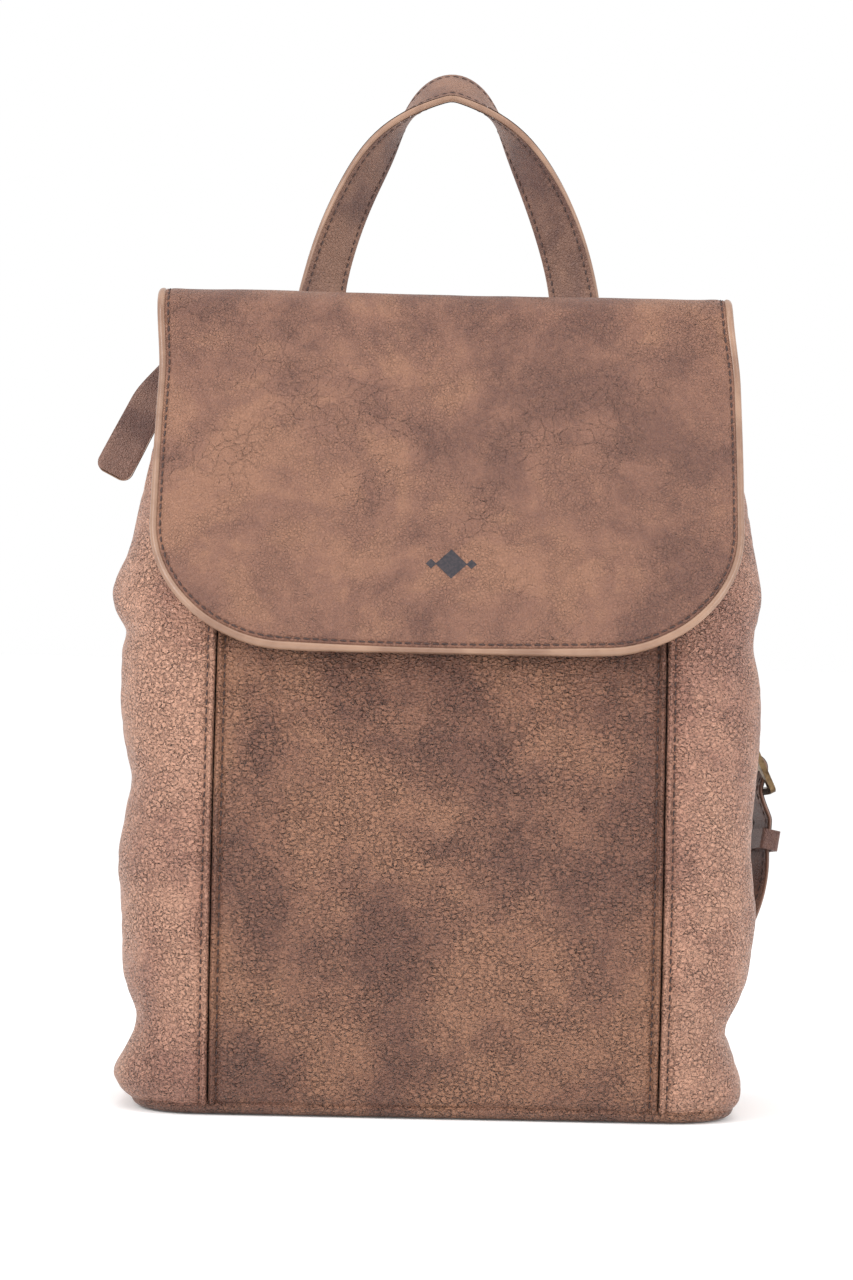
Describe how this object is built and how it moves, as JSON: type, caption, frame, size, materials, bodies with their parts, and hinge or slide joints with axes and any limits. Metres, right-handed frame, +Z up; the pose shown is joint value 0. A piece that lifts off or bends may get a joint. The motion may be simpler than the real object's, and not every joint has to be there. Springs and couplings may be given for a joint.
{
  "type": "backpack",
  "caption": "Soft leather backpack with a rounded front flap, zipped mouth, carry handle, padded shoulder straps and a stiff flat base",
  "frame": {"origin": "middle of the flat base, where it stands", "axes": "+Z up, -Y towards the flap and front panel, +Y towards the wearer's back, +X to the right seen from the front"},
  "size_m": [0.305, 0.2041, 0.449],
  "materials": {
    "body_leather": "pebbled, satin",
    "flap_leather": "smooth, satin",
    "flap_backing": "suede",
    "edge_binding": "smooth",
    "strap_leather": "smooth, satin",
    "strap_backing": "matte",
    "lining": "woven",
    "board": "fibre board",
    "foam": "foam",
    "metal": "aged",
    "zip_teeth": "aged",
    "zip_tape": "woven",
    "emblem": "pressed mark"
  },
  "bodies": {
    "bag": {"front_panel": "body_leather", "back_panel": "body_leather", "base_panel": "body_leather", "base_board": "board", "back_foam": "foam", "lining_bag": "lining", "rim_facing": "strap_leather", "zip_tape_left": "zip_tape", "zip_tape_right": "zip_tape", "zip_teeth_left": "zip_teeth", "zip_teeth_right": "zip_teeth", "flap_root_leather": "flap_leather", "flap_root_lining": "flap_backing", "yoke_patch": "flap_leather", "snap_socket": "metal", "snap_socket_washer": "metal", "left_side_panel": "body_leather", "right_side_panel": "body_leather", "left_handle_root": "strap_leather", "right_handle_root": "strap_leather", "left_strap_root": "strap_leather", "right_strap_root": "strap_leather", "left_ring_tab": "strap_leather", "right_ring_tab": "strap_leather", "left_tail_loop": "strap_leather", "right_tail_loop": "strap_leather"},
    "flap_roof": {"flap_roof_leather": "flap_leather", "flap_roof_lining": "flap_backing"},
    "flap_front": {"flap_front_leather": "flap_leather", "flap_front_lining": "flap_backing", "flap_edge_binding": "edge_binding", "snap_stud": "metal", "emblem": "emblem"},
    "handle": {"handle_leather": "strap_leather", "handle_lining": "strap_backing"},
    "mouth_front": {"facing_front": "strap_leather", "zip_tape_front": "zip_tape", "zip_teeth_front": "zip_teeth"},
    "mouth_back": {"facing_back": "strap_leather", "zip_tape_back": "zip_tape", "zip_teeth_back": "zip_teeth"},
    "zip_slider": {"zip_slider": "metal"},
    "zip_pull": {"zip_puller": "metal"},
    "zip_tab": {"zip_pull_tab": "strap_leather"},
    "left_strap": {"left_strap_pad": "strap_leather", "left_strap_backing": "strap_backing", "left_strap_adjuster": "metal", "left_strap_tail": "strap_leather"},
    "left_keeper": {"left_strap_keeper": "strap_leather"},
    "left_ring": {"left_strap_ring": "metal"},
    "right_strap": {"right_strap_pad": "strap_leather", "right_strap_backing": "strap_backing", "right_strap_adjuster": "metal", "right_strap_tail": "strap_leather"},
    "right_keeper": {"right_strap_keeper": "strap_leather"},
    "right_ring": {"right_strap_ring": "metal"}
  },
  "joints": [
    {"name": "flap_lift", "type": "hinge", "parent": "bag", "child": "flap_roof", "pos_m": [0, 0.05858, 0.34108], "axis": [-1, 0, 0], "range_deg": [0, 90]},
    {"name": "flap_unfold", "type": "hinge", "parent": "flap_roof", "child": "flap_front", "pos_m": [0, -0.00112, 0.34344], "axis": [-1, 0, 0], "range_deg": [0, 64]},
    {"name": "handle_swing", "type": "hinge", "parent": "bag", "child": "handle", "pos_m": [0, 0.0654, 0.346], "axis": [-1, 0, 0], "range_deg": [-45, 75]},
    {"name": "zip_slide", "type": "slide", "parent": "bag", "child": "zip_slider", "axis": [1, 0, 0], "range_m": [0, 0.204], "deforming": ["zip_pull_tab"]},
    {"name": "mouth_front_fold", "type": "hinge", "parent": "bag", "child": "mouth_front", "pos_m": [0, 0.0039, 0.3203], "axis": [-1, 0, 0], "range_deg": [0, 75]},
    {"name": "mouth_back_fold", "type": "hinge", "parent": "bag", "child": "mouth_back", "pos_m": [0, 0.051, 0.3203], "axis": [1, 0, 0], "range_deg": [0, 75]},
    {"name": "zip_pull_swing", "type": "hinge", "parent": "zip_slider", "child": "zip_pull", "pos_m": [-0.106, 0.02745, 0.32555], "axis": [0, 1, 0], "range_deg": [0, 45]},
    {"name": "zip_tab_swing", "type": "hinge", "parent": "zip_pull", "child": "zip_tab", "pos_m": [-0.1155, 0.02745, 0.32555], "axis": [0, 1, 0], "range_deg": [0, 60]},
    {"name": "left_strap_swing", "type": "hinge", "parent": "bag", "child": "left_strap", "pos_m": [-0.024, 0.0654, 0.276], "axis": [-0.345, 0, -0.9386], "range_deg": [-25, 40]},
    {"name": "left_keeper_slide", "type": "slide", "parent": "left_strap", "child": "left_keeper", "axis": [-0.1045, -0.462, -0.8807], "range_m": [-0.005, 0.005]},
    {"name": "left_ring_swing", "type": "hinge", "parent": "bag", "child": "left_ring", "pos_m": [-0.11655, 0.0654, 0.02417], "axis": [-0.9386, 0, 0.345], "range_deg": [-8, 8]},
    {"name": "right_strap_swing", "type": "hinge", "parent": "bag", "child": "right_strap", "pos_m": [0.024, 0.0654, 0.276], "axis": [-0.345, 0, 0.9386], "range_deg": [0, 60]},
    {"name": "right_keeper_slide", "type": "slide", "parent": "right_strap", "child": "right_keeper", "axis": [-0.1587, -0.1394, -0.9774], "range_m": [-0.005, 0.002]},
    {"name": "right_ring_swing", "type": "hinge", "parent": "bag", "child": "right_ring", "pos_m": [0.11655, 0.0654, 0.02417], "axis": [0.9386, 0, 0.345], "range_deg": [-8, 8]}
  ],
  "couplings": [
    {"joint": "flap_unfold", "follows": "flap_lift", "ratio": 0.71},
    {"joint": "mouth_front_fold", "follows": "zip_slide", "rad_per_m": 6.36},
    {"joint": "mouth_back_fold", "follows": "zip_slide", "rad_per_m": 6.36}
  ]
}
